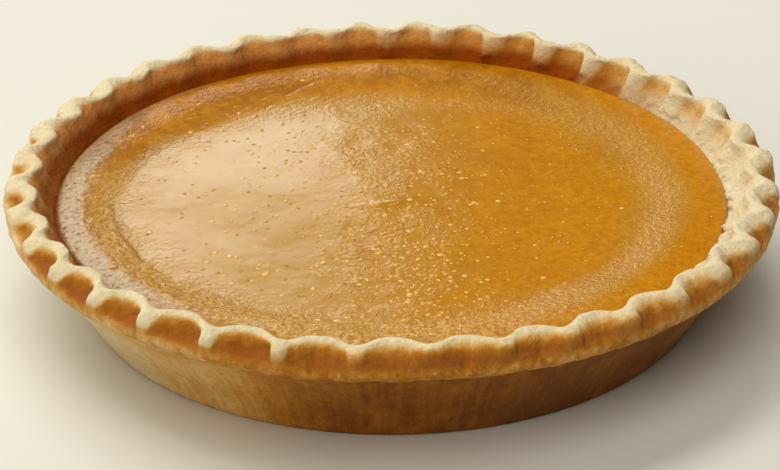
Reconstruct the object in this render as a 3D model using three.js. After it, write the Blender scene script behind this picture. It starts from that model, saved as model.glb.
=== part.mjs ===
// A whole baked pumpkin pie, out of its dish: a pastry case with a crimped edge, and the set
// custard that fills it. Millimetres, +Z up, origin at the centre of the base.
import * as THREE from 'three';

// Driving dimensions
const LIP_RADIUS = 125.0;
const LIP_HEIGHT = 34.6;
const CREST_HEIGHT = 41.6;
const BASE_RADIUS = 98.5;
const FLOOR_THICKNESS = 4;
const WALL_THICKNESS = 6;
const CUSTARD_RADIUS = 109.0;
const CUSTARD_LEVEL = 31.1;
const CUSTARD_SIDE_DEPTH = 9;
const PIECE_GAP = 0.3;

// Crimped edge: a ridge pinched between thumb and finger, so that it swings in and out
const CRIMP_COUNT = 36;
const CRIMP_STEPS = 8;
const CREST_RADIUS = 118.15;
const CREST_SWING = 2.25;
const CREST_HALF_WIDTH = 3.0;
const CREST_DROP = 1.4;

// The scoop that a fingertip leaves outside at each inward swing: its lowest line, and its slope
const SCOOP_RADIUS = LIP_RADIUS - 2.1;
const SCOOP_HEIGHT = LIP_HEIGHT + 0.8;
const SCOOP_SLOPE_WIDTH = 2.2;
const SCOOP_SLOPE_HEIGHT = 1.8;

// Where the strand between two scoops begins, in the swing, and how sharp crest and hollow turn
const STRAND_START = 0.15;
const CREST_SHARPNESS = 1.6;
const HOLLOW_SHARPNESS = 1.9;

// The first crimp's place, and how far the crimps drift from an even spacing, in radians
const FIRST_CRIMP = THREE.MathUtils.degToRad(4.667);
const CRIMP_DRIFT = [
  { waves: 1, size: 0.0085, phase: 0.95 },
  { waves: 2, size: 0.0114, phase: 2.71 },
  { waves: 3, size: 0.0055, phase: 2.38 },
  { waves: 4, size: 0.0041, phase: 1.83 },
  { waves: 5, size: 0.0034, phase: 4.77 },
];

// Folded edge of the case: the pastry is turned under, so its lower edge stands proud of the wall
const FOLD_HEIGHT = 31.2;
const FOLD_RADIUS = LIP_RADIUS - 3.1;
const WALL_TOP_RADIUS = 118.3;
const WALL_TOP_HEIGHT = 29.4;
const FOOT_RADIUS = 101.5;
const FOOT_HEIGHT = 2.0;
const WALL_HOLLOW = 0.4;
const WALL_STEPS = 2;

// Custard: a puffed ring along the crust, wider on the right, a shallow valley, a broad low dome
const RING_RISE = 2.0;
const RING_EDGE_SHARE = 0.35;
const RING_OUTER_WIDTH = 9.4;
const RING_INNER_WIDTH = 16.5;
const RING_WIDENING = 0.17;
const DOME_RISE = 1.5;
const DOME_RADIUS = 96;
const CUSTARD_SEGMENTS = 108;

// The uneven hand-made edge: how far it wanders up and out, in slow waves round the pie
const EDGE_UNEVENNESS = 0.5;

const lerp = THREE.MathUtils.lerp;
const smoothstep = THREE.MathUtils.smoothstep;

// Slow, repeatable unevenness from -1 to 1 round the pie; each seed gives another course.
function wander(angle, seed) {
  const slow = Math.sin(3 * angle + 1.7 * seed);
  const middle = Math.sin(7 * angle + 2.9 * seed);
  const quick = Math.sin(17 * angle + 4.3 * seed);
  return (slow + 0.7 * middle + 0.5 * quick) / 2.2;
}

// The angle at which a crimp of this number stands; halves lie midway between two crimps.
function crimpAngle(crimp) {
  const even = FIRST_CRIMP + crimp / CRIMP_COUNT * 2 * Math.PI;
  let angle = even;
  for (const { waves, size, phase } of CRIMP_DRIFT) {
    angle += size * Math.cos(waves * even - phase);
  }
  return angle;
}

// A point of the section: its radius and height where the crest swings out and where it swings in.
// Outside, the strand that runs down from the crest is much narrower than the scoop beside it.
function station(side, out, inward) {
  return { side, out, inward };
}

const crestOut = CREST_RADIUS + CREST_SWING;
const crestIn = CREST_RADIUS - CREST_SWING;
const crestSide = CREST_HEIGHT - CREST_DROP;

const outerRim = [
  station('fold', [FOLD_RADIUS, FOLD_HEIGHT], [FOLD_RADIUS - 0.2, FOLD_HEIGHT]),
  station('fold', [LIP_RADIUS - 0.5, LIP_HEIGHT - 1.3], [LIP_RADIUS - 0.5, LIP_HEIGHT - 1.4]),
  station('outer', [LIP_RADIUS, LIP_HEIGHT + 0.6], [LIP_RADIUS - 0.2, LIP_HEIGHT + 0.5]),
  station('outer', [LIP_RADIUS - 0.2, LIP_HEIGHT + 2.8], [SCOOP_RADIUS, SCOOP_HEIGHT]),
  station('outer', [LIP_RADIUS - 0.5, LIP_HEIGHT + 4.6],
    [SCOOP_RADIUS - SCOOP_SLOPE_WIDTH, SCOOP_HEIGHT + SCOOP_SLOPE_HEIGHT]),
  station('outer', [crestOut + CREST_HALF_WIDTH, CREST_HEIGHT - 0.9],
    [crestIn + CREST_HALF_WIDTH, CREST_HEIGHT - 1.8]),
];

const crest = [
  station('crest', [crestOut, CREST_HEIGHT], [crestIn, CREST_HEIGHT - 0.1]),
  station('crest', [crestOut - CREST_HALF_WIDTH, crestSide], [crestIn - CREST_HALF_WIDTH, crestSide]),
];

const innerRim = [
  station('inner', [crestOut - CREST_HALF_WIDTH - 2.0, CREST_HEIGHT - 4.5],
    [crestIn - CREST_HALF_WIDTH - 1.2, CREST_HEIGHT - 4.3]),
  station('inner', [CUSTARD_RADIUS + 2.5, CUSTARD_LEVEL + 1.8],
    [CUSTARD_RADIUS + 0.9, CUSTARD_LEVEL + 1.5]),
];

const innerFloorRadius = FOOT_RADIUS - WALL_THICKNESS;
const rim = [...outerRim, ...crest, ...innerRim];

function wallStations() {
  const stations = [];
  for (let i = 0; i <= WALL_STEPS; i += 1) {
    const t = i / WALL_STEPS;
    const radius = lerp(FOOT_RADIUS, WALL_TOP_RADIUS, t) - WALL_HOLLOW * Math.sin(Math.PI * t);
    stations.push([radius, lerp(FOOT_HEIGHT, WALL_TOP_HEIGHT, t)]);
  }
  return stations;
}

// How far along the swing a station stands, from 0 at its inward place to 1 at its outward one.
function swingShare(side, swing) {
  const share = 0.5 + 0.5 * swing;
  if (side === 'outer') return smoothstep(swing, STRAND_START, 1);
  if (side === 'inner') return Math.pow(share, HOLLOW_SHARPNESS);
  return Math.pow(share, CREST_SHARPNESS);
}

// Turns a section, given as [radius, height] points, round Z, then moves each line of points.
// Column k of the turned section is set at the angle angleOf(k).
function turnedSection(points, segments, angleOf, move) {
  const section = points.map(([radius, height]) => new THREE.Vector2(radius, height));
  const geometry = new THREE.LatheGeometry(section, segments);
  const position = geometry.attributes.position;
  geometry.rotateX(Math.PI / 2);
  for (let i = 0; i < position.count; i += 1) {
    const line = i % points.length;
    const column = Math.floor(i / points.length) % segments;
    const angle = angleOf(column);
    const [radius, height] = move(line, angle, column);
    position.setXYZ(i, radius * Math.cos(angle), radius * Math.sin(angle), height);
  }
  geometry.computeVertexNormals();
  return geometry;
}

function caseGeometry() {
  const wall = wallStations();
  const below = [[0, 0], [BASE_RADIUS, 0], ...wall];
  const inside = [
    [CUSTARD_RADIUS, CUSTARD_LEVEL - 1],
    [CUSTARD_RADIUS, CUSTARD_LEVEL - CUSTARD_SIDE_DEPTH],
    [innerFloorRadius, FLOOR_THICKNESS],
    [0, FLOOR_THICKNESS],
  ];
  const fixedLines = 3;
  const points = [...below, ...rim.map((part) => part.out), ...inside];
  const angleOf = (column) => crimpAngle(column / CRIMP_STEPS);
  return turnedSection(points, CRIMP_COUNT * CRIMP_STEPS, angleOf, (line, angle, column) => {
    const inRim = line - below.length;
    if (inRim >= 0 && inRim < rim.length) {
      const { side, out, inward } = rim[inRim];
      const share = swingShare(side, Math.cos(2 * Math.PI * column / CRIMP_STEPS));
      const radius = lerp(inward[0], out[0], share);
      const height = lerp(inward[1], out[1], share);
      return [
        radius + 0.4 * EDGE_UNEVENNESS * wander(angle, inRim % 3),
        height + EDGE_UNEVENNESS * wander(angle, side === 'inner' ? 4 : 3),
      ];
    }
    const [radius, height] = points[line];
    if (line >= fixedLines && line < below.length) {
      return [radius + EDGE_UNEVENNESS * wander(angle, line), height];
    }
    return [radius, height];
  });
}

// Height of the custard over its level, from the crust inwards.
function custardRise(radius, angle) {
  const fromEdge = CUSTARD_RADIUS - radius;
  const widening = 1 + RING_WIDENING * Math.cos(angle);
  const outerWidth = RING_OUTER_WIDTH * widening;
  const innerWidth = RING_INNER_WIDTH * widening;
  const dome = 0.5 + 0.5 * Math.cos(Math.PI * Math.min(radius / DOME_RADIUS, 1));
  let ring = 1 - smoothstep(fromEdge, outerWidth, outerWidth + innerWidth);
  if (fromEdge < outerWidth) {
    ring = lerp(RING_EDGE_SHARE, 1, Math.sin(0.5 * Math.PI * fromEdge / outerWidth));
  }
  return RING_RISE * (1 + 0.2 * wander(angle, 5)) * ring + DOME_RISE * dome;
}

function custardGeometry() {
  const side = CUSTARD_RADIUS - PIECE_GAP;
  const bottomRadius = innerFloorRadius - PIECE_GAP;
  const ringTop = CUSTARD_RADIUS - RING_OUTER_WIDTH;
  const ringFoot = ringTop - RING_INNER_WIDTH;
  const surfaceRadii = [
    side - 1, lerp(side, ringTop, 0.5), ringTop, lerp(ringTop, ringFoot, 0.35),
    lerp(ringTop, ringFoot, 0.7), ringFoot, ringFoot * 0.7, ringFoot * 0.38, 0,
  ];
  const solid = [
    [0, FLOOR_THICKNESS + PIECE_GAP],
    [bottomRadius, FLOOR_THICKNESS + PIECE_GAP],
    [side, CUSTARD_LEVEL - CUSTARD_SIDE_DEPTH + PIECE_GAP],
    [side, CUSTARD_LEVEL],
  ];
  const surface = surfaceRadii.map((radius) => [radius, CUSTARD_LEVEL]);
  const points = [...solid, ...surface];
  const angleOf = (column) => column / CUSTARD_SEGMENTS * 2 * Math.PI;
  return turnedSection(points, CUSTARD_SEGMENTS, angleOf, (line, angle) => {
    const [radius, height] = points[line];
    if (line < solid.length) return [radius, height];
    return [radius, height + custardRise(radius, angle)];
  });
}

const pastry = new THREE.MeshStandardMaterial({ color: 0xd9b382, roughness: 0.85, metalness: 0 });
const custard = new THREE.MeshStandardMaterial({ color: 0xc17d2a, roughness: 0.4, metalness: 0 });

const pastryCase = new THREE.Mesh(caseGeometry(), pastry);
pastryCase.name = 'pastry_case';

const pumpkinFilling = new THREE.Mesh(custardGeometry(), custard);
pumpkinFilling.name = 'pumpkin_filling';

const pie = new THREE.Group();
pie.add(pastryCase, pumpkinFilling);

export default pie;
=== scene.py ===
import math
import random

import bmesh
import bpy
from mathutils import Matrix, Vector, noise


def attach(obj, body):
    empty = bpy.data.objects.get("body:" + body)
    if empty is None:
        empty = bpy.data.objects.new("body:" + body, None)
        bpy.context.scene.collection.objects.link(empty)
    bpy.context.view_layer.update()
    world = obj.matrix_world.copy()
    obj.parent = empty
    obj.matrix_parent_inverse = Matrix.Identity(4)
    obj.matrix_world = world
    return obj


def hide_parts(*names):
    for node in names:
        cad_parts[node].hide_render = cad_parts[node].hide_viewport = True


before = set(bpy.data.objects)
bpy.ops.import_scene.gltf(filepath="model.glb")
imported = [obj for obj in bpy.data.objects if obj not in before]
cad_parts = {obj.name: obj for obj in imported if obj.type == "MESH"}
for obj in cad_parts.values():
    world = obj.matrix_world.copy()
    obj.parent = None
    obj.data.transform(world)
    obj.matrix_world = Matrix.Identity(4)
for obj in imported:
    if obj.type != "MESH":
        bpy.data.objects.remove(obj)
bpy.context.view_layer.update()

# The view: a long lens a little under a metre off, looking down on the pie at 27 degrees, as
# one photographs a pie on a table.
view_distance = 0.875
view_elevation = math.radians(27.035)
view_roll = math.radians(-0.21)
view_target = Vector((-0.00053, 0.0, 0.01607))
back = Vector((0.0, -math.cos(view_elevation), math.sin(view_elevation)))
camera_data = bpy.data.cameras.new("camera")
camera_data.sensor_width = 36.0
camera_data.lens = 122.82
camera_data.clip_start = 0.05
camera_data.clip_end = 20.0
camera = bpy.data.objects.new("camera", camera_data)
bpy.context.scene.collection.objects.link(camera)
tilt = Matrix.Rotation(math.pi / 2 - view_elevation, 4, "X")
roll = Matrix.Rotation(view_roll, 4, "Z")
camera.matrix_world = Matrix.Translation(view_target + back * view_distance) @ tilt @ roll
bpy.context.scene.camera = camera

# The light: one broad window behind the pie on its left, low enough to shade the near side, a
# soft light from overhead, and a dim warm room that fills the shadows.
bpy.context.scene.view_settings.view_transform = "Standard"


def soft_light(name, azimuth, elevation, distance, size, power, colour):
    turn = math.radians(azimuth)
    rise = math.radians(elevation)
    place = Vector((math.cos(turn) * math.cos(rise), math.sin(turn) * math.cos(rise), math.sin(rise)))
    lamp = bpy.data.lights.new(name, "AREA")
    lamp.shape = "RECTANGLE"
    lamp.size = size[0]
    lamp.size_y = size[1]
    lamp.energy = power
    lamp.color = colour
    holder = bpy.data.objects.new(name, lamp)
    bpy.context.scene.collection.objects.link(holder)
    holder.location = place * distance
    holder.rotation_mode = "QUATERNION"
    holder.rotation_quaternion = place.to_track_quat("Z", "Y")
    holder.visible_camera = False
    return holder


window_side = 123
light_distance = 3.0
soft_light("window", window_side, 23, light_distance, (3.3, 1.0), 45, (1.0, 0.99, 0.9))
# The rest comes off walls and ceiling, too dim and wide to be mirrored in the custard.
for wall_light in (
    soft_light("window_top", window_side, 62, light_distance, (2.6, 1.0), 59, (1.0, 0.98, 0.91)),
    soft_light("overhead", 275, 66, light_distance, (2.4, 2.4), 41, (1.0, 0.96, 0.86)),
    soft_light("room_fill", 235, 24, light_distance, (2.6, 1.4), 33, (1.0, 0.94, 0.81)),
):
    wall_light.visible_glossy = False

world = bpy.data.worlds.new("room")
world.use_nodes = True
world.node_tree.nodes["Background"].inputs["Color"].default_value = (0.95, 0.85, 0.7, 1.0)
world.node_tree.nodes["Background"].inputs["Strength"].default_value = 0.1
bpy.context.scene.world = world

# The surface under the pie: a plain pale matt floor, wide enough to fill every view.
floor_size = 6.0
floor_mesh = bpy.data.meshes.new("floor")
floor_shape = bmesh.new()
bmesh.ops.create_grid(floor_shape, x_segments=1, y_segments=1, size=floor_size / 2)
floor_shape.to_mesh(floor_mesh)
floor_shape.free()
floor = bpy.data.objects.new("floor", floor_mesh)
bpy.context.scene.collection.objects.link(floor)
floor_paint = bpy.data.materials.new("floor_paint")
floor_paint.use_nodes = True
floor_shader = floor_paint.node_tree.nodes["Principled BSDF"]
floor_shader.inputs["Base Color"].default_value = (0.68, 0.67, 0.625, 1.0)
floor_shader.inputs["Roughness"].default_value = 0.8
floor_mesh.materials.append(floor_paint)

# The pastry case: a disc of shortcrust pressed into a dish, its edge turned under and crimped
# between thumb and finger, so that the crest swings in and out and leaves a scoop at each turn.
# It is spun from one section, then each ring of the section is moved to its place.
mm = 0.001
crimp_count = 36
steps_per_crimp = 32
first_crimp = math.radians(4.667)
# How the crimps drift from an even spacing: waves round the pie, size and phase in radians.
crimp_drift = [
    (1, 0.0085, 0.95), (2, 0.0114, 2.71), (3, 0.0055, 2.38), (4, 0.0041, 1.83), (5, 0.0034, 4.77),
]
foot_line = [(98.5, 0.0), (100.4, 0.5), (101.5, 1.8), (102.5, 4.2)]
wall_line = [(105.8, 10.0), (111.6, 19.0), (116.6, 26.4), (118.3, 29.4)]
# Rim stations: where the crest swings out, and where it swings in, as radius and height.
rim_stations = [
    ((119.6, 30.7), (119.5, 30.6)),
    ((121.9, 31.2), (121.7, 31.1)),
    ((123.4, 32.0), (123.1, 31.8)),
    ((124.5, 33.3), (124.6, 33.2)),
    ((124.9, 34.6), (125.0, 34.7)),
    ((124.9, 36.0), (124.2, 35.6)),
    ((124.8, 37.3), (122.9, 35.4)),
    ((124.6, 38.6), (121.4, 36.4)),
    ((124.2, 39.8), (120.0, 38.1)),
    ((123.4, 40.8), (118.8, 39.8)),
    ((122.2, 41.4), (117.7, 41.0)),
    ((120.4, 41.7), (115.9, 41.5)),
    ((118.6, 41.2), (114.1, 41.2)),
    ((117.3, 39.8), (112.8, 40.0)),
    ((115.9, 37.5), (111.8, 37.7)),
    ((113.9, 35.0), (110.9, 35.0)),
    ((111.5, 32.9), (109.9, 32.6)),
    ((109.3, 31.0), (108.9, 30.4)),
]
hidden_line = [(108.3, 27.0), (107.0, 20.0), (95.5, 4.0)]
lip_station = 5
crest_station = 11
last_station = len(rim_stations) - 1
first_rim = len(foot_line) + len(wall_line)
swings_out = foot_line + wall_line + [out for out, inward in rim_stations] + hidden_line
swings_in = foot_line + wall_line + [inward for out, inward in rim_stations] + hidden_line


def smooth_step(low, high, value):
    """0 below low, 1 above high, and a soft passage between them."""
    t = min(max((value - low) / (high - low), 0.0), 1.0)
    return t * t * (3 - 2 * t)


def crimp_turn(angle):
    """How many crimps lie between the first one and this angle."""
    turn = angle - first_crimp
    for waves, size, phase in crimp_drift:
        turn -= size * math.cos(waves * angle - phase)
    return crimp_count * turn / (2 * math.pi)


def crimp_luck(angle, seed):
    """Slow unevenness from crimp to crimp, as a hand makes it, from -1 to 1."""
    spread = 5.2
    strength = 1.6
    place = Vector((math.cos(angle), math.sin(angle), 0.0)) * spread
    return noise.noise(place + Vector((seed, 3.1 * seed, 0.7))) * strength


def smooth_point(points, along):
    """A point of the curve through the given points, at that many points along it."""
    here = min(int(along), len(points) - 2)
    t = along - here
    before = Vector(points[max(here - 1, 0)])
    start = Vector(points[here])
    end = Vector(points[here + 1])
    after = Vector(points[min(here + 2, len(points) - 1)])
    bend = 2 * before - 5 * start + 4 * end - after
    twist = 3 * start - before - 3 * end + after
    return start + 0.5 * t * ((end - before) + t * (bend + t * twist))


def round_value(stops, angle):
    """A value given at some angles round the pie, in degrees from the right, blended between."""
    turn = math.degrees(angle) % 360
    for (start, first), (end, second) in zip(stops, stops[1:] + [(360, stops[0][1])]):
        if turn <= end:
            return first + (second - first) * smooth_step(start, end, turn)
    return stops[0][1]


# The hand that crimped it wasn't even: how wide the strands are, how deep the scoops are pressed,
# and where the turned-under edge runs smoothly into the wall, round the pie.
strand_widths = [
    (0, 0.2), (90, 0.14), (150, 0.3), (190, 0.26), (215, 0.18), (260, 0.12), (290, 0.2), (330, 0.2),
]
scoop_depths = [(0, 0.9), (40, 1.0), (250, 1.0), (278, 0.6), (325, 0.7)]
apron_parts = [(0, 0.0), (165, 0.0), (200, 1.0), (240, 1.0), (266, 0.0)]
runout_parts = [(0, 0.5), (60, 0.2), (165, 0.0), (200, 0.75), (240, 0.75), (270, 0.6), (330, 0.55)]
# How deep the hollows inside the crest are.
hollow_depths = [
    (0, 0.5), (50, 0.85), (80, 0.8), (115, 0.5), (160, 0.45), (200, 0.5), (270, 0.5), (330, 0.45),
]
# The thumb pushed the dough sideways too, so each scoop and hollow has a steep end. It changes
# sides where these turns say.
lean_turn = math.radians(95)
inner_lean_turn = math.radians(150)
# How sharply the crest turns at its outward swings.
crest_sharpness = 1.6


def leaning_share(angle, slope, step, lean):
    """1 at an outward swing and 0 between two of them. Going one way round it falls over the
    first stretch of a turn and rises again, more steeply, over the second; lean mixes that with
    its mirror image, from 1 to -1."""
    ahead = crimp_turn(angle) % 1.0
    shares = []
    for part in (ahead, 1 - ahead):
        shares.append(max(1 - smooth_step(*slope, part), smooth_step(*step, part)))
    return shares[1] + (shares[0] - shares[1]) * (0.5 + 0.5 * lean)


def strand_share(angle):
    """1 on the strand between two scoops and 0 on a scoop's floor."""
    width = round_value(strand_widths, angle)
    slope = (0.6 * width, width + 0.36)
    step = (0.88 - 0.4 * width, 1.0 - 0.4 * width)
    return leaning_share(angle, slope, step, math.sin(angle - lean_turn))


def hollow_share(angle):
    """1 in a hollow inside the crest, which is wide, and 0 on the lobe between two of them."""
    return leaning_share(angle, (0.2, 0.6), (0.66, 0.82), math.sin(inner_lean_turn - angle))


def swing_share(on_rim, angle):
    """From 0 where a ring stands at its inward place to 1 at its outward one."""
    swing = math.cos(2 * math.pi * crimp_turn(angle))
    crest_share = (0.5 + 0.5 * swing) ** crest_sharpness
    if on_rim < crest_station:
        scoop = (1 - strand_share(angle)) * round_value(scoop_depths, angle)
        # Without a lip a scoop's floor runs out into the fold and the wall.
        scoop *= 1 - round_value(runout_parts, angle) * smooth_step(8.5, 5.0, on_rim)
        outside = smooth_step(crest_station - 0.5, crest_station - 3.0, on_rim)
        return crest_share + (1 - scoop - crest_share) * outside
    inner_share = 0.4 + (hollow_share(angle) - 0.4) * round_value(hollow_depths, angle)
    inside = smooth_step(crest_station + 0.5, crest_station + 3.0, on_rim)
    return crest_share + (inner_share - crest_share) * inside


# The dough is uneven, from slow swells to grit: how far each moves it sideways, in mm.
swell_size = 0.8
lump_size = 0.5
dent_size = 0.42
grit_size = 0.24
lip_height = 1.2
flake_height = 0.9
flake_depth = 0.8
apron_depth = 2.6
crumb_size = 1.9


def pastry_place(angle, along):
    """Where a point of the section stands at this angle, with all that the hand did to it."""
    on_rim = along - first_rim
    share = swing_share(on_rim, angle)
    share = 0.5 + (share - 0.5) * (1 + 0.12 * crimp_luck(angle, 2.0))
    out = smooth_point(swings_out, along)
    inward = smooth_point(swings_in, along)
    radius, height = inward.lerp(out, share)
    around = Vector((math.cos(angle), math.sin(angle), 0.0))
    place = Vector((around.x * radius, around.y * radius, height))
    rim = smooth_step(-1, 2, on_rim) * smooth_step(last_station + 0.6, last_station - 2, on_rim)
    wall = smooth_step(1.5, 3.5, along) * smooth_step(last_station + 0.8, last_station - 1, on_rim)
    slow = noise.noise(place * 0.02 + Vector((0, 0, 7.3)))
    lumps = noise.noise(place * 0.08 + Vector((3.1, 0, 0)))
    dents = noise.noise(place * 0.21 + Vector((0, 5.7, 0)))
    grit = noise.noise(place * 0.55 + Vector((2.2, 1.7, 0)))
    sway = noise.noise(place * 0.017 + Vector((9, 1, 2)))
    radius += wall * (swell_size * slow + lump_size * lumps + dent_size * dents + grit_size * grit)
    height += rim * (0.75 * sway + lump_size * lumps + 0.45 * dents)
    height += rim * (0.35 * crimp_luck(angle, 1.0) + grit_size * grit)
    # On the left the lip stands up round each scoop and makes a bowl of it.
    lip_ridge = math.exp(-((on_rim - lip_station + 0.2) / 1.3) ** 2) * (1 - share)
    height += lip_height * lip_ridge * smooth_step(0.75, 0.97, -around.x)
    # The turned-under edge is torn and flaky, so its lower line wanders.
    apron = round_value(apron_parts, angle)
    fold = math.exp(-((on_rim - 1.6) / 1.4) ** 2) * (1 - 0.8 * apron)
    flakes = noise.noise(Vector((around.x * 26, around.y * 26, 0.4 * on_rim)))
    flakes += 0.6 * noise.noise(Vector((around.x * 70, around.y * 70, 0.6 * on_rim)))
    height += fold * (flake_height * flakes + 0.5 * slow)
    radius += fold * flake_depth * flakes
    radius += apron * apron_depth * math.exp(-((on_rim + 0.6) / 1.6) ** 2)
    # Crumbs stand out from its inner foot on the right, where the inside is painted pale in the light.
    foot = smooth_step(last_station - 3.2, last_station - 1, on_rim)
    foot *= smooth_step(-0.2, 0.4, around.x)
    foot *= smooth_step(last_station + 1.4, last_station, on_rim)
    crumbs = noise.noise(around * 22 + Vector((0, 0, 0.5 * on_rim)))
    crumbs += noise.noise(around * 48 + Vector((0, 0, 1.1 * on_rim)))
    radius -= foot * (0.8 + crumb_size * max(crumbs, -0.2))
    return Vector((around.x * radius * mm, around.y * radius * mm, height * mm))


def turn_line(shape, line_verts, sectors, steps):
    """Turns a line of points once round Z: one sector is spun, then repeated and joined up."""
    line_edges = []
    for vert, following in zip(line_verts, line_verts[1:]):
        line_edges.append(shape.edges.new((vert, following)))
    sector = 2 * math.pi / sectors
    seam_gap = 0.000001
    bmesh.ops.spin(
        shape, geom=line_verts + line_edges, cent=(0, 0, 0), axis=(0, 0, 1),
        angle=sector, steps=steps,
    )
    bmesh.ops.spin(
        shape, geom=shape.verts[:] + shape.edges[:] + shape.faces[:], cent=(0, 0, 0),
        axis=(0, 0, 1), angle=2 * math.pi - sector, steps=sectors - 1, use_duplicate=True,
    )
    bmesh.ops.remove_doubles(shape, verts=shape.verts, dist=seam_gap)


pastry_shape = bmesh.new()
along_layer = pastry_shape.verts.layers.float.new("along")
# Into how many rings each stretch of the section is cut: foot and wall, then rim and inside.
foot_and_wall_steps = [1, 1, 2, 3, 4, 4, 2, 1]
rim_steps = [3, 3, 3, 3, 3, 4, 4, 4, 4, 4, 4, 4, 4, 3, 4, 4, 3, 2, 1, 1]
ring_steps = foot_and_wall_steps + rim_steps
section = []
for station, steps in enumerate(ring_steps):
    for step in range(steps):
        section.append(station + step / steps)
section.append(float(len(swings_out) - 1))
section_verts = []
for along in section:
    point = smooth_point(swings_out, along)
    vert = pastry_shape.verts.new((point.x * mm, 0.0, point.y * mm))
    vert[along_layer] = along
    section_verts.append(vert)
turn_line(pastry_shape, section_verts, crimp_count, steps_per_crimp)
for vert in pastry_shape.verts:
    angle = math.atan2(vert.co.y, vert.co.x)
    vert.co = pastry_place(angle, vert[along_layer])
open_edges = [edge for edge in pastry_shape.edges if edge.is_boundary]
bmesh.ops.holes_fill(pastry_shape, edges=open_edges)
bmesh.ops.recalc_face_normals(pastry_shape, faces=pastry_shape.faces)
pastry_mesh = bpy.data.meshes.new("crimped_pastry_case")
pastry_shape.to_mesh(pastry_mesh)
pastry_shape.free()
pastry_mesh.shade_smooth()
pastry_case = bpy.data.objects.new("crimped_pastry_case", pastry_mesh)
bpy.context.scene.collection.objects.link(pastry_case)

# How dark each part of the case is, from 0 for cream to 1 for dark brown: part browning from the
# oven and part painted shade. Pale along the crest, golden in the scoops, darker deep in scoops and
# hollows, and not the same on every side (right, back, left, front): painted darker on the sides
# turned away from the light and paler where it falls. The grain attribute holds a place on the
# unrolled wall, for streaks that run up and down it.
crest_tones = [(0, 0.1), (50, 0.12), (90, 0.18), (140, 0.12), (180, 0.1)]
# Inside the crest the tones are painted shade: darker at the back and back left, which face away from the
# light, and pale on the right, which faces it; the hollows darker still, and darker again low down
# towards the custard.
inner_tones = [
    (0, 0.04), (48, 0.08), (70, 0.26), (105, 0.33), (150, 0.41), (175, 0.22), (250, 0.16), (320, 0.06),
]
hollow_tones = [
    (0, 0.16), (30, 0.34), (58, 0.4), (80, 0.22), (130, 0.05), (165, 0.08), (185, 0.28), (250, 0.2),
    (300, 0.1),
]
deep_tones = [
    (0, 0.04), (34, 0.08), (54, 0.36), (72, 0.42), (150, 0.45), (178, 0.22), (250, 0.3), (320, 0.06),
]
# How dark the case is along the custard's edge, part stain from the custard and part painted
# shade, strong at the back, left and front and slight on the right; and where the inner face is
# left pale because the light falls on it.
stain_and_shade_parts = [
    (0, 0.1), (30, 0.2), (46, 0.65), (60, 1.0), (150, 1.0), (185, 0.8), (250, 0.9), (320, 0.1),
]
lit_pale_parts = [(0, 0.95), (38, 0.9), (56, 0.1), (70, 0.0), (250, 0.1), (320, 0.9)]
# Where the browned hollows have a slanting upper edge, and where the pale crest is a narrow band.
slant_parts = [(0, 1.0), (84, 1.0), (108, 0.0), (320, 0.0), (350, 1.0)]
narrow_crests = [(0, 0.0), (150, 0.0), (178, 0.7), (215, 0.5), (250, 0.8), (310, 0.7), (345, 0.2)]
# The fold and the wall are painted darker at the front and right, which are in shade, and paler on the
# left, where the light falls.
fold_tones = [
    (0, 0.44), (90, 0.45), (172, 0.2), (195, 0.3), (225, 0.42), (262, 0.64), (300, 0.58), (330, 0.48),
]
wall_tones = [(0, 0.8), (90, 0.55), (180, 0.22), (215, 0.26), (240, 0.42), (262, 0.9), (300, 0.98)]
scoop_tones = [
    (0, 0.44), (140, 0.46), (160, 0.32), (172, 0.42), (183, 0.64), (193, 0.74), (230, 0.74),
    (280, 0.7), (310, 0.58), (340, 0.46),
]
# How pale the strands are, and where an orange glow is painted on the inner face under the crest:
# painted light for light shining through the thin edge and bounced off the custard.
strand_parts = [(0, 0.9), (40, 1.0), (245, 1.0), (262, 0.5), (275, 0.1), (300, 0.15), (325, 0.7)]
painted_glow_parts = [
    (0, 0.0), (50, 0.1), (80, 0.5), (110, 0.8), (155, 0.8), (185, 0.6), (225, 0.4), (320, 0.0),
]
# How soft the borders of the browned scoops are.
soft_borders = [
    (0, 0.3), (140, 0.6), (160, 1.0), (195, 1.0), (215, 0.3), (240, 0.2), (275, 0.5), (330, 0.4),
]

# What each of these holds: browning with painted shade, red-brown painted shade low in the scoops, a
# painted glow, and stain with painted shade along the custard's edge.
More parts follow.
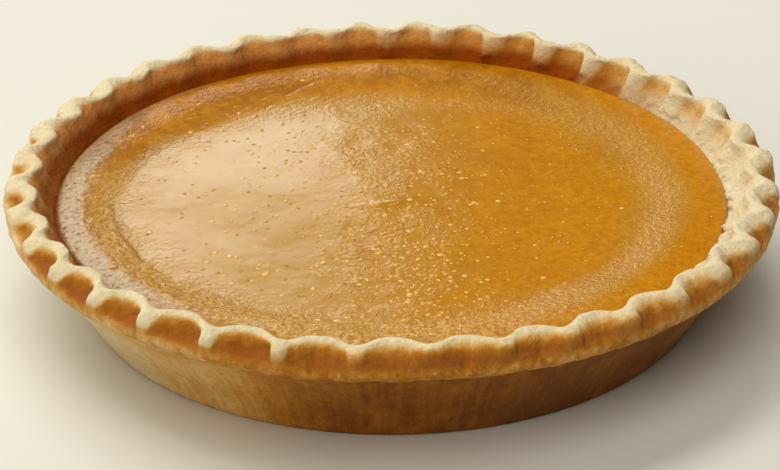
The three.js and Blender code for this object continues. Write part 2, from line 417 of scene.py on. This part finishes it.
for name in ("browning_and_shade", "scoop_red_and_shade", "painted_glow", "stain_and_shade", "flaky"):
    pastry_mesh.attributes.new(name, "FLOAT", "POINT")
pastry_mesh.attributes.new("grain", "FLOAT_VECTOR", "POINT")
browning_and_shade = pastry_mesh.attributes["browning_and_shade"]
scoop_red_and_shade = pastry_mesh.attributes["scoop_red_and_shade"]
painted_glow = pastry_mesh.attributes["painted_glow"]
stain_and_shade = pastry_mesh.attributes["stain_and_shade"]
flaky = pastry_mesh.attributes["flaky"]
grain = pastry_mesh.attributes["grain"]
along_values = pastry_mesh.attributes["along"].data
for i, vert in enumerate(pastry_mesh.vertices):
    along = along_values[i].value
    angle = math.atan2(vert.co.y, vert.co.x)
    on_rim = along - first_rim
    crest_tone = round_value(crest_tones, angle)
    if on_rim < crest_station:
        # A pale strand narrows downwards; a scoop is golden under the crest and red-brown where it's
        # deepest and towards its steep end, part browning and part painted shade. On the apron it fades
        # into the wall's tan.
        apron = round_value(apron_parts, angle)
        soft = round_value(soft_borders, angle)
        runout = round_value(runout_parts, angle)
        strand_start = 0.68 - 0.3 * soft + 0.2 * smooth_step(crest_station - 2, lip_station, on_rim)
        strand = smooth_step(strand_start, strand_start + 0.2 + 0.3 * soft, strand_share(angle))
        floor_part = 1 - strand * round_value(strand_parts, angle)
        crest_edge = crest_station - 0.9 + round_value(narrow_crests, angle)
        below_crest = smooth_step(crest_edge, crest_edge - 1.8 - 1.2 * soft, on_rim)
        bowl = smooth_step(0.5, 1.0, soft)
        fold_top = lip_station + 1.2 + 1.4 * runout + 1.8 * bowl
        above_fold = smooth_step(lip_station - 0.2 - runout + 1.5 * bowl, fold_top, on_rim)
        sideways = math.sin(angle - lean_turn) * math.sin(2 * math.pi * crimp_turn(angle))
        pushed = 0.5 - 0.5 * sideways
        low_down = smooth_step(lip_station + 4.4, lip_station + 2.0, on_rim)
        in_scoop = floor_part * below_crest
        scoop_tone = round_value(scoop_tones, angle) - 0.16 + 0.2 * low_down
        scoop_tone += pushed * (0.14 + 0.1 * low_down)
        strand_tone = crest_tone + 0.34 * smooth_step(crest_station - 3.5, lip_station + 0.5, on_rim)
        rim_tone = strand_tone + (scoop_tone - strand_tone) * in_scoop
        scoop_red_and_shade.data[i].value = in_scoop * above_fold * low_down * (0.3 + 0.5 * pushed) * (1 - 0.6 * bowl)
        low_tone = round_value(fold_tones, angle)
        if on_rim < 1:
            wall_part = smooth_step(0.8, -1.0 - 2 * apron, on_rim)
            low_tone += (round_value(wall_tones, angle) - low_tone) * wall_part
        brown = low_tone + (rim_tone - low_tone) * above_fold
    else:
        # Near the crest only a hollow's deepest part is browned, so its upper edge slants. Where the
        # light falls on the inside it is left pale, and the brown fades out again further down. Lower
        # down the face is painted darker towards the custard, a painted shade.
        lit_pale = round_value(lit_pale_parts, angle)
        lit_pale *= smooth_step(crest_station + 2.6, crest_station + 4.4, on_rim)
        slant = round_value(slant_parts, angle)
        slanting = slant * smooth_step(crest_station + 3.8, crest_station + 1.2, on_rim)
        hollow = smooth_step(0.15 + 0.5 * slanting, 0.75 + 0.25 * slanting, hollow_share(angle))
        hollow *= 1 - lit_pale
        lobe = slant * (1 - hollow)
        below_crest = smooth_step(crest_station + 1.1, crest_station + 2.3 + 1.3 * lobe, on_rim)
        deep = smooth_step(crest_station + 2.4, crest_station + 5.2, on_rim)
        # Painted glow: orange light on the inner face under the crest.
        painted_glow.data[i].value = below_crest * round_value(painted_glow_parts, angle)
        face_tone = round_value(inner_tones, angle) + round_value(hollow_tones, angle) * hollow
        brown = crest_tone + (face_tone - crest_tone) * below_crest
        brown += round_value(deep_tones, angle) * deep
    browning_and_shade.data[i].value = brown
    # Along the custard's edge the case is darkened, more in the hollows: stain and painted shade.
    at_custard = smooth_step(last_station - 3.3, last_station - 1.6, on_rim)
    stain_and_shade_part = round_value(stain_and_shade_parts, angle)
    ragged = noise.noise(Vector((math.cos(angle), math.sin(angle), 0.0)) * 55)
    fringe = smooth_step(last_station - 1.6, last_station - 0.6, on_rim + 1.2 * ragged)
    soaked_and_shaded = stain_and_shade_part + (1 - stain_and_shade_part) * hollow_share(angle)
    stain_and_shade.data[i].value = max(at_custard * stain_and_shade_part * soaked_and_shaded, 0.5 * fringe * stain_and_shade_part)
    flaky.data[i].value = smooth_step(-1.5, 0.5, on_rim) * smooth_step(5.6, 3.6, on_rim)
    grain.data[i].vector = (math.cos(angle) * 0.12, math.sin(angle) * 0.12, along * 0.0006)


def add_noise(tree, place, scale, detail, roughness=0.5):
    node = tree.nodes.new("ShaderNodeTexNoise")
    node.inputs["Scale"].default_value = scale
    node.inputs["Detail"].default_value = detail
    node.inputs["Roughness"].default_value = roughness
    tree.links.new(place, node.inputs["Vector"])
    return node.outputs["Fac"]


def add_math(tree, operation, *values):
    node = tree.nodes.new("ShaderNodeMath")
    node.operation = operation
    for socket, value in zip(node.inputs, values):
        if isinstance(value, (int, float)):
            socket.default_value = value
        else:
            tree.links.new(value, socket)
    return node.outputs["Value"]


def add_range(tree, value, low, high, new_low=0.0, new_high=1.0):
    node = tree.nodes.new("ShaderNodeMapRange")
    node.interpolation_type = "SMOOTHSTEP"
    for name, limit in (("From Min", low), ("From Max", high), ("To Min", new_low), ("To Max", new_high)):
        node.inputs[name].default_value = limit
    tree.links.new(value, node.inputs["Value"])
    return node.outputs["Result"]


def add_cells(tree, place, scale):
    """Distance from scattered points, and one random number for each of them."""
    node = tree.nodes.new("ShaderNodeTexVoronoi")
    node.inputs["Scale"].default_value = scale
    tree.links.new(place, node.inputs["Vector"])
    luck = tree.nodes.new("ShaderNodeSeparateColor")
    tree.links.new(node.outputs["Color"], luck.inputs["Color"])
    return node.outputs["Distance"], luck.outputs["Red"]


def add_ramp(tree, factor, stops):
    node = tree.nodes.new("ShaderNodeValToRGB")
    ramp = node.color_ramp
    while len(ramp.elements) < len(stops):
        ramp.elements.new(0.5)
    for element, (position, colour) in zip(ramp.elements, stops):
        element.position = position
        element.color = (*colour, 1.0)
    tree.links.new(factor, node.inputs["Fac"])
    return node.outputs["Color"]


def add_mix(tree, factor, first, second):
    node = tree.nodes.new("ShaderNodeMix")
    node.data_type = "RGBA"
    sockets = [node.inputs[0], node.inputs[6], node.inputs[7]]
    for socket, value in zip(sockets, (factor, first, second)):
        if isinstance(value, (int, float)):
            socket.default_value = value
        elif isinstance(value, tuple):
            socket.default_value = (*value, 1.0)
        else:
            tree.links.new(value, socket)
    return node.outputs[2]


def add_attribute(tree, name, kind="Fac"):
    node = tree.nodes.new("ShaderNodeAttribute")
    node.attribute_name = name
    return node.outputs[kind]


def add_bump(tree, height, distance, normal=None):
    node = tree.nodes.new("ShaderNodeBump")
    node.inputs["Distance"].default_value = distance
    tree.links.new(height, node.inputs["Height"])
    if normal is not None:
        tree.links.new(normal, node.inputs["Normal"])
    return node.outputs["Normal"]


pastry = bpy.data.materials.new("baked_shortcrust")
pastry.use_nodes = True
tree = pastry.node_tree
shader = tree.nodes["Principled BSDF"]
place = tree.nodes.new("ShaderNodeTexCoord").outputs["Object"]
patches = add_noise(tree, place, 60, 4, 0.6)
freckles = add_noise(tree, place, 380, 4, 0.65)
streaks = add_noise(tree, add_attribute(tree, "grain", "Vector"), 330, 4, 0.6)
# The tone of the case, browning with painted shade, broken by random patches, freckles and streaks.
browned_and_shaded = add_attribute(tree, "browning_and_shade")
on_brown = add_range(tree, browned_and_shaded, 0.25, 0.5)
browned_and_shaded = add_math(tree, "MULTIPLY_ADD", add_math(tree, "SUBTRACT", patches, 0.5), 0.45, browned_and_shaded)
browned_and_shaded = add_math(tree, "MULTIPLY_ADD", add_math(tree, "SUBTRACT", freckles, 0.5), 0.3, browned_and_shaded)
streaked = add_math(tree, "MULTIPLY", add_math(tree, "SUBTRACT", streaks, 0.5), on_brown)
browned_and_shaded = add_math(tree, "MULTIPLY_ADD", streaked, 0.5, browned_and_shaded)
flaky_part = add_attribute(tree, "flaky")
flecked = add_math(tree, "MULTIPLY", add_math(tree, "SUBTRACT", freckles, 0.5), flaky_part)
browned_and_shaded = add_math(tree, "MULTIPLY_ADD", flecked, 0.55, browned_and_shaded)
crust_colour = add_ramp(tree, browned_and_shaded, [
    (0.0, (0.71, 0.63, 0.43)),
    (0.2, (0.69, 0.55, 0.32)),
    (0.42, (0.6, 0.335, 0.09)),
    (0.62, (0.46, 0.185, 0.018)),
    (0.82, (0.31, 0.11, 0.005)),
    (1.0, (0.19, 0.055, 0.002)),
])
# Red-brown painted shade low in the scoops, with browning.
crust_colour = add_mix(tree, add_attribute(tree, "scoop_red_and_shade"), crust_colour, (0.34, 0.1, 0.02))
# A painted orange glow on the inner face.
crust_colour = add_mix(tree, add_attribute(tree, "painted_glow"), crust_colour, (0.7, 0.29, 0.075))
# Stain and painted shade along the custard's edge.
crust_colour = add_mix(tree, add_attribute(tree, "stain_and_shade"), crust_colour, (0.24, 0.045, 0.001))
tree.links.new(crust_colour, shader.inputs["Base Color"])
meal = add_noise(tree, place, 1300, 4, 0.65)
normal = add_bump(tree, meal, 0.0003)
normal = add_bump(tree, freckles, 0.0011, normal)
normal = add_bump(tree, add_math(tree, "MULTIPLY", streaks, flaky_part), 0.0012, normal)
tree.links.new(normal, shader.inputs["Normal"])
shader.inputs["Roughness"].default_value = 0.7
shader.inputs["Specular IOR Level"].default_value = 0.25
shader.inputs["Subsurface Weight"].default_value = 0.12
shader.inputs["Subsurface Radius"].default_value = (1.0, 0.55, 0.25)
shader.inputs["Subsurface Scale"].default_value = 0.002
pastry_mesh.materials.append(pastry)
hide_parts("pastry_case")
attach(pastry_case, "root")

# The custard: pumpkin, egg and cream poured into the case and baked until set. It puffs up along
# the crust, sinks a little inside that ring, and has a thin satin skin. A disc spun from a line.
custard_radius = 109.2
custard_level = 31.3
dome_rise = 1.5
dome_radius = 96.0
custard_sectors = 36
custard_sector_steps = 15
custard_rings = 172
# The puffed ring: how far its top is from the crust, how high it stands and how wide its inner
# slope is, round the pie, in mm.
ring_top = 9.4
ring_rises = [(0, 2.0), (50, 2.2), (90, 2.9), (130, 2.7), (170, 2.0), (300, 2.0)]
ring_widths = [(0, 20), (50, 24), (90, 31), (130, 27), (165, 16), (190, 12), (250, 13), (300, 17)]
# How much of the ring's height is left at the crust.
edge_shares = [(0, 0.5), (40, 0.85), (65, 0.75), (100, 0.35), (320, 0.35)]
# A small raised fold in the skin a little before the centre: where it is and how big, in mm.
fold_place = (2.0, -9.0)
fold_size = (7.5, 2.8)
fold_rise = 0.75
# Short creases where the skin has dried, from end to end, all on the left.
crease_lines = [
    ((-26.6, 87.4), (-36.9, 77.0)), ((-41.6, 70.2), (-43.6, 67.6)),
    ((-90.1, -7.6), (-86.0, -27.6)), ((-86.0, -27.6), (-76.9, -46.9)),
]
crease_limit = -24
crease_width = 0.8
crease_depth = 0.15


def crease_part(x, y):
    """1 on a crease, falling off within a millimetre of it."""
    if x > crease_limit:
        return 0.0
    nearest = 9.0
    for (x0, y0), (x1, y1) in crease_lines:
        long, across = x1 - x0, y1 - y0
        share = ((x - x0) * long + (y - y0) * across) / (long * long + across * across)
        share = min(max(share, 0.0), 1.0)
        nearest = min(nearest, math.hypot(x - x0 - share * long, y - y0 - share * across))
    return math.exp(-(nearest / crease_width) ** 2)


def custard_height(x, y):
    """How high the custard stands over this place: ring, valley, dome, fold and creases."""
    radius = math.hypot(x, y)
    angle = math.atan2(y, x)
    where = Vector((x, y, 0.0))
    uneven = noise.noise(Vector((math.cos(angle), math.sin(angle), 0)) * 2.1)
    outer_width = ring_top + 1.2 * math.cos(angle) + 1.3 * uneven
    inner_width = round_value(ring_widths, angle) + 3.0 * uneven
    ring_rise = round_value(ring_rises, angle)
    from_edge = custard_radius - radius
    if from_edge < outer_width:
        edge_share = round_value(edge_shares, angle)
        quarter_turn = 0.5 * math.pi * max(from_edge, 0) / outer_width
        ring = edge_share + (1 - edge_share) * math.sin(quarter_turn)
    else:
        ring = 1 - smooth_step(outer_width, outer_width + inner_width, from_edge)
    dome = 0.5 + 0.5 * math.cos(math.pi * min(radius / dome_radius, 1))
    edge_drop = -1.4 * math.exp(-max(from_edge, 0) / 0.4)
    height = custard_level + ring_rise * (1 + 0.2 * uneven) * ring
    height = height + dome_rise * dome - 0.2 + edge_drop
    height += 0.4 * noise.noise(where * 0.02 + Vector((4, 4, 4)))
    height += 0.08 * noise.noise(where * 0.07 + Vector((1, 8, 2)))
    height += 0.02 * noise.noise(where * 0.25 + Vector((7, 3, 1)))
    across = (x - fold_place[0]) / fold_size[0]
    deep = (y - fold_place[1] - 1.5 * across) / fold_size[1]
    height += fold_rise * math.exp(-across * across - deep * deep)
    return height - crease_depth * crease_part(x, y)


custard_shape = bmesh.new()
line_verts = []
for ring in range(custard_rings + 1):
    radius = custard_radius * (ring + 0.5) / (custard_rings + 0.5)
    line_verts.append(custard_shape.verts.new((radius * mm, 0, custard_level * mm)))
# Its hidden side, down to its bottom.
for radius, height in ((custard_radius, 27.0), (96.0, 5.0)):
    line_verts.append(custard_shape.verts.new((radius * mm, 0, height * mm)))
turn_line(custard_shape, line_verts, custard_sectors, custard_sector_steps)
for vert in custard_shape.verts:
    if vert.co.z > (custard_level - 1) * mm:
        vert.co.z = custard_height(vert.co.x / mm, vert.co.y / mm) * mm
open_edges = [edge for edge in custard_shape.edges if edge.is_boundary]
bmesh.ops.holes_fill(custard_shape, edges=open_edges)
bmesh.ops.recalc_face_normals(custard_shape, faces=custard_shape.faces)
custard_mesh = bpy.data.meshes.new("set_pumpkin_custard")
custard_shape.to_mesh(custard_mesh)
custard_shape.free()
custard_mesh.shade_smooth()
custard = bpy.data.objects.new("set_pumpkin_custard", custard_mesh)
bpy.context.scene.collection.objects.link(custard)

# Where the skin is rough: a belt of small bumps at the middle, net-like wrinkles on the ring
# along the near left edge, and a pitted skin at the edge on the left, whose pale lilac colour is
# painted sheen. Where the base is tinted duller and yellower under the window's reflection, a
# painted tint for the sheen, and where the edge is darker, part stain from the crust and part
# painted shade, darker also towards the back and along the creases.
for name in ("mottled", "bumpy", "wrinkled", "sheen_tint", "pitted_sheen_edge", "rim_stain_and_shade"):
    custard_mesh.attributes.new(name, "FLOAT", "POINT")
pitted_sheen_edge = custard_mesh.attributes["pitted_sheen_edge"]
mottled = custard_mesh.attributes["mottled"]
bumpy = custard_mesh.attributes["bumpy"]
wrinkled = custard_mesh.attributes["wrinkled"]
sheen_tint = custard_mesh.attributes["sheen_tint"]
rim_stain_and_shade = custard_mesh.attributes["rim_stain_and_shade"]
for i, vert in enumerate(custard_mesh.vertices):
    x = vert.co.x / mm
    y = vert.co.y / mm
    radius = math.hypot(x, y)
    angle = math.degrees(math.atan2(y, x)) % 360
    drift = 14 * noise.noise(Vector((x, y, 0)) * 0.03)
    patchy = noise.noise(Vector((x, y, 5)) * 0.11)
    belt = math.exp(-((x - 4 + 0.1 * y + drift) / 22) ** 2) * smooth_step(80, 35, y)
    belt *= min(max(0.8 + 1.2 * patchy, 0.0), 1.0)
    middle = smooth_step(-50, -5, x) * smooth_step(95, 35, x) * smooth_step(70, 30, y)
    bumpy.data[i].value = 0.1 + 0.14 * middle + 0.2 * patchy * middle + 0.6 * belt
    # Where the valley ends and the ring's inner slope starts.
    valley = custard_radius - ring_top - round_value(ring_widths, math.radians(angle))
    ragged_radius = radius + 0.3 * drift + 6 * patchy
    outer_limit = 103 + 5 * smooth_step(225, 260, angle)
    on_ring = smooth_step(84, 91, radius + 0.3 * drift)
    on_ring *= smooth_step(outer_limit, outer_limit - 4, radius)
    near_left = smooth_step(168, 190, angle) * smooth_step(325, 270, angle)
    wrinkled.data[i].value = 0.8 * on_ring * near_left * min(max(0.9 + patchy, 0.0), 1.0)
    on_slope = smooth_step(valley - 10, valley + 8, ragged_radius) * smooth_step(109, 101, radius)
    on_right = smooth_step(0, 60, x)
    at_border = math.exp(-((ragged_radius - valley - 2) / 9) ** 2)
    sloped = (0.6 + 0.35 * on_right) * on_slope
    back_left = smooth_step(92, 108, angle) * smooth_step(172, 152, angle)
    back_left *= smooth_step(86, 95, radius)
    rough_skin = max(0.6 * belt, 0.9 * at_border, sloped, 1.3 * back_left)
    mottled.data[i].value = 0.03 + 0.15 * middle + 0.7 * rough_skin
    to_left = smooth_step(122, 158, angle + 5 * patchy) * smooth_step(252, 218, angle)
    rough = noise.noise(Vector((x, y, 2)) * 0.4)
    # The pitted edge is narrower towards the back.
    narrower = 5 * smooth_step(165, 138, angle)
    at_edge = smooth_step(96.5, 101, radius - narrower + 0.1 * drift + 2 * patchy + 2.5 * rough)
    inner_slope = on_slope * smooth_step(100, 94, radius)
    off_ring = smooth_step(valley + 15, valley + 1, ragged_radius)
    # A duller, yellower base where the window is mirrored, on the left and on the right ring's inner
    # slope: a painted tint for the sheen.
    sheen_tint.data[i].value = max(
        0.5 * smooth_step(60, -40, x) * max(off_ring, smooth_step(-20, -60, y)) * (1 - to_left * at_edge),
        0.3 * inner_slope * on_right,
    )
    # The pitted edge on the left, painted pale and lilac as sheen.
    pitted_sheen_edge.data[i].value = to_left * at_edge
    # The custard's edge darkened against the crust, darker towards the back and along the creases: part
    # stain and part painted shade.
    stained_and_shaded_edge = smooth_step(107.2, 108.4, radius + 0.05 * drift)
    at_back = smooth_step(76, 92, radius + 0.4 * drift) * smooth_step(-0.1, 0.5, y / radius)
    rim_stain_and_shade.data[i].value = max(
        stained_and_shaded_edge * round_value(stain_and_shade_parts, math.radians(angle)),
        0.36 * at_back * (1 + patchy + rough) * smooth_step(95, 30, x), 0.6 * crease_part(x, y),
    )

skin = bpy.data.materials.new("pumpkin_custard")
skin.use_nodes = True
tree = skin.node_tree
shader = tree.nodes["Principled BSDF"]
place = tree.nodes.new("ShaderNodeTexCoord").outputs["Object"]
cloudy = add_math(tree, "MULTIPLY", add_noise(tree, place, 60, 4, 0.6), 0.3)
cloudy = add_math(tree, "MULTIPLY_ADD", add_noise(tree, place, 420, 4, 0.7), 0.7, cloudy)
custard_colour = add_ramp(tree, cloudy, [
    (0.36, (0.41, 0.145, 0.002)),
    (0.5, (0.48, 0.187, 0.003)),
    (0.66, (0.56, 0.25, 0.008)),
])
bumpy_part = add_attribute(tree, "bumpy")
wrinkled_part = add_attribute(tree, "wrinkled")
pitted_sheen_part = add_attribute(tree, "pitted_sheen_edge")
sheen_tint_part = add_attribute(tree, "sheen_tint")
# Tinted where the window is mirrored: a painted tint for the sheen.
custard_colour = add_mix(tree, sheen_tint_part, custard_colour, (0.33, 0.22, 0.03))
# The pitted edge: a pale lilac that paints its sheen, with darker pits.
pit_pattern = add_noise(tree, place, 430, 3, 0.6)
pitted_colour = add_ramp(tree, pit_pattern, [(0.32, (0.24, 0.1, 0.025)), (0.46, (0.48, 0.335, 0.19))])
custard_colour = add_mix(tree, pitted_sheen_part, custard_colour, pitted_colour)
nets = add_noise(tree, place, 560, 3, 0.6)
# Golden on the raised wrinkles and dark orange in their dips: colour with painted highlight and shade.
net_colour_and_shade = add_ramp(tree, nets, [(0.4, (0.36, 0.14, 0.008)), (0.6, (0.66, 0.38, 0.085))])
custard_colour = add_mix(tree, wrinkled_part, custard_colour, net_colour_and_shade)
speck_distance, speck_luck = add_cells(tree, place, 260)
chosen = add_range(tree, speck_luck, 0.55, 0.8, 0.0, 0.5)
chosen = add_math(tree, "MULTIPLY", chosen, add_range(tree, sheen_tint_part, 0.1, 0.5, 1.0, 0.2))
speck = add_math(tree, "MULTIPLY", add_range(tree, speck_distance, 0.08, 0.2, 1.0, 0.0), chosen)
custard_colour = add_mix(tree, speck, custard_colour, (0.34, 0.1, 0.002))
pimple_distance, pimple_luck = add_cells(tree, place, 430)
pimple_here = add_math(tree, "GREATER_THAN", add_math(tree, "ADD", pimple_luck, bumpy_part), 1.0)
pimple = add_range(tree, pimple_distance, 0.08, 0.3, 1.0, 0.0)
pimple = add_math(tree, "MULTIPLY", pimple, pimple_here)
# Pimple tops painted light golden: colour with a painted glint.
pimple_highlight_part = add_math(tree, "MULTIPLY", pimple, 0.7)
custard_colour = add_mix(tree, pimple_highlight_part, custard_colour, (0.76, 0.46, 0.07))
# Darker along the edge, at the back and in the creases: stain with painted shade.
custard_colour = add_mix(tree, add_attribute(tree, "rim_stain_and_shade"), custard_colour, (0.22, 0.065, 0.001))
tree.links.new(custard_colour, shader.inputs["Base Color"])
mottling = add_noise(tree, place, 560, 3, 0.6)
mottled_height = add_math(tree, "MULTIPLY", mottling, add_attribute(tree, "mottled"))
normal = add_bump(tree, mottled_height, 0.00042)
lumps = add_noise(tree, place, 300, 2, 0.5)
lumpy_part = add_range(tree, bumpy_part, 0.2, 0.7)
normal = add_bump(tree, add_math(tree, "MULTIPLY", lumps, lumpy_part), 0.00022, normal)
normal = add_bump(tree, pimple, 0.00045, normal)
normal = add_bump(tree, add_math(tree, "MULTIPLY", nets, wrinkled_part), 0.0007, normal)
normal = add_bump(tree, add_math(tree, "MULTIPLY", pit_pattern, pitted_sheen_part), 0.0009, normal)
tree.links.new(normal, shader.inputs["Normal"])
shader.inputs["Roughness"].default_value = 0.17
shader.inputs["IOR"].default_value = 1.34
shader.inputs["Specular Tint"].default_value = (0.91, 0.985, 0.92, 1.0)
shader.inputs["Subsurface Weight"].default_value = 0.12
shader.inputs["Subsurface Radius"].default_value = (1.0, 0.4, 0.1)
shader.inputs["Subsurface Scale"].default_value = 0.0015
custard_mesh.materials.append(skin)
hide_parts("pumpkin_filling")
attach(custard, "root")

# Small bubbles baked into the skin, a few dark grains of spice, and one orange spot: low domes
# half sunk in the custard, thickest in a belt at the middle. Places are in mm.
bubble_places = [
    (-38.9, -56.5), (-55.1, -41.7), (-50.3, -44.4), (-57.3, -47.7), (-16.4, -86.6), (5.5, -69.8),
    (9.8, 14.0), (6.0, -8.3),
]
grain_places = [(-106.2, 4.4), (-98.7, -31.0), (-77.4, -28.4)]
spot_place = (-85.5, -54.8)
bubble_count = 1350
skin_reach = 101
# A dome's half width, its height over its middle, and how far it is sunk, for a size of 1.
dome_width = 1.3
dome_height = 0.32
dome_sink = 0.08
chance = random.Random(7)
# Each dome is a place, a size and a tone, from 0 for pale to 1 for dark.
domes = []
for x, y in bubble_places:
    domes.append((x, y, 0.9, 0.1))
for x, y in grain_places:
    domes.append((x, y, 0.5, 1.0))
for count in range(bubble_count):
    # One in four is larger and lies anywhere on the left; the others make the belt.
    if count % 4 < 1:
        x = chance.gauss(-24, 34)
        y = chance.gauss(-20, 42)
        size = 0.28 + 0.5 * chance.random() ** 2
    else:
        y = chance.uniform(-98, 52)
        x = chance.gauss(-5, 16) - 0.1 * y
        size = 0.22 + 0.36 * chance.random() ** 2
    if math.hypot(x, y) < skin_reach:
        domes.append((x, y, size, chance.uniform(0.0, 0.35)))
domes.append((*spot_place, 1.2, 0.6))
bubble_shape = bmesh.new()
bubble_mesh = bpy.data.meshes.new("skin_bubbles")
for x, y, size, tone in domes:
    centre = Vector((x, y, custard_height(x, y) - dome_sink * size)) * mm
    half_width = dome_width * size * mm
    squashed = Matrix.Diagonal((half_width, half_width, dome_height * size * mm, 1.0))
    dome = bmesh.new()
    tone_layer = dome.verts.layers.float.new("tone")
    bmesh.ops.create_uvsphere(
        dome, u_segments=8, v_segments=6, radius=1.0, matrix=Matrix.Translation(centre) @ squashed,
    )
    for vert in dome.verts:
        vert[tone_layer] = tone
    dome.to_mesh(bubble_mesh)
    dome.free()
    bubble_shape.from_mesh(bubble_mesh)
bubble_shape.to_mesh(bubble_mesh)
bubble_shape.free()
bubble_mesh.shade_smooth()
bubbles = bpy.data.objects.new("skin_bubbles", bubble_mesh)
bpy.context.scene.collection.objects.link(bubbles)
bubble_skin = bpy.data.materials.new("bubble_skin")
bubble_skin.use_nodes = True
tree = bubble_skin.node_tree
shader = tree.nodes["Principled BSDF"]
# Bubbles paler than the skin, which paints their lit tops; dark tones for the spice grains and the orange
# spot.
bubble_colour_and_highlight = add_ramp(tree, add_attribute(tree, "tone"), [
    (0.0, (0.74, 0.47, 0.13)),
    (0.5, (0.56, 0.21, 0.006)),
    (1.0, (0.22, 0.07, 0.003)),
])
tree.links.new(bubble_colour_and_highlight, shader.inputs["Base Color"])
shader.inputs["Roughness"].default_value = 0.3
shader.inputs["IOR"].default_value = 1.45
bubble_mesh.materials.append(bubble_skin)
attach(bubbles, "root")
